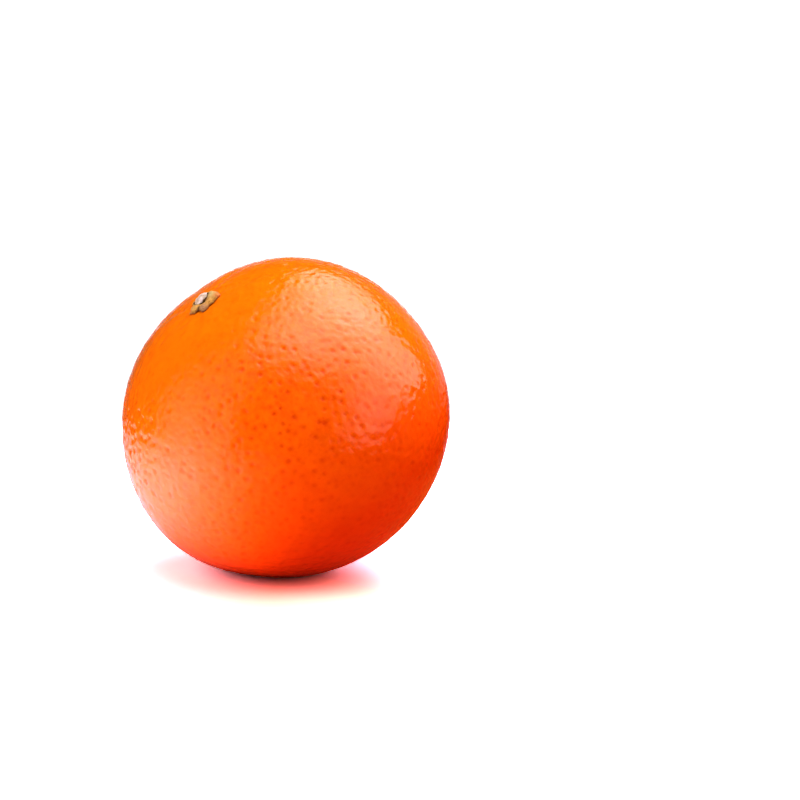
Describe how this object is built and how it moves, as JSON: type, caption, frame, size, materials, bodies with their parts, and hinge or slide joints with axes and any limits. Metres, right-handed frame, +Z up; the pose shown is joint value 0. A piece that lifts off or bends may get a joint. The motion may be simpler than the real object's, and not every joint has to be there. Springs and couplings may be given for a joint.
{
  "type": "mandarin",
  "caption": "Whole mandarin at rest: slightly flattened round citrus fruit with pitted orange peel, a dried calyx star and a cut stem stub.",
  "frame": {"origin": "on the small flat spot that the fruit rests on, straight under the fruit's middle", "axes": "+Z up from the surface it lies on; the stem end leans 35 degrees from +Z, towards a heading 204.5 degrees round from +X"},
  "size_m": [0.0611, 0.0618, 0.0585],
  "materials": {
    "peel": "waxy, semi-gloss, pitted by oil glands",
    "dry_calyx": "dry, matt, papery",
    "cut_stem": "dry, matt, weathered grey cut end"
  },
  "bodies": {
    "root": {"fruit": "peel", "calyx": "dry_calyx", "stem_stub": "cut_stem"}
  },
  "joints": []
}
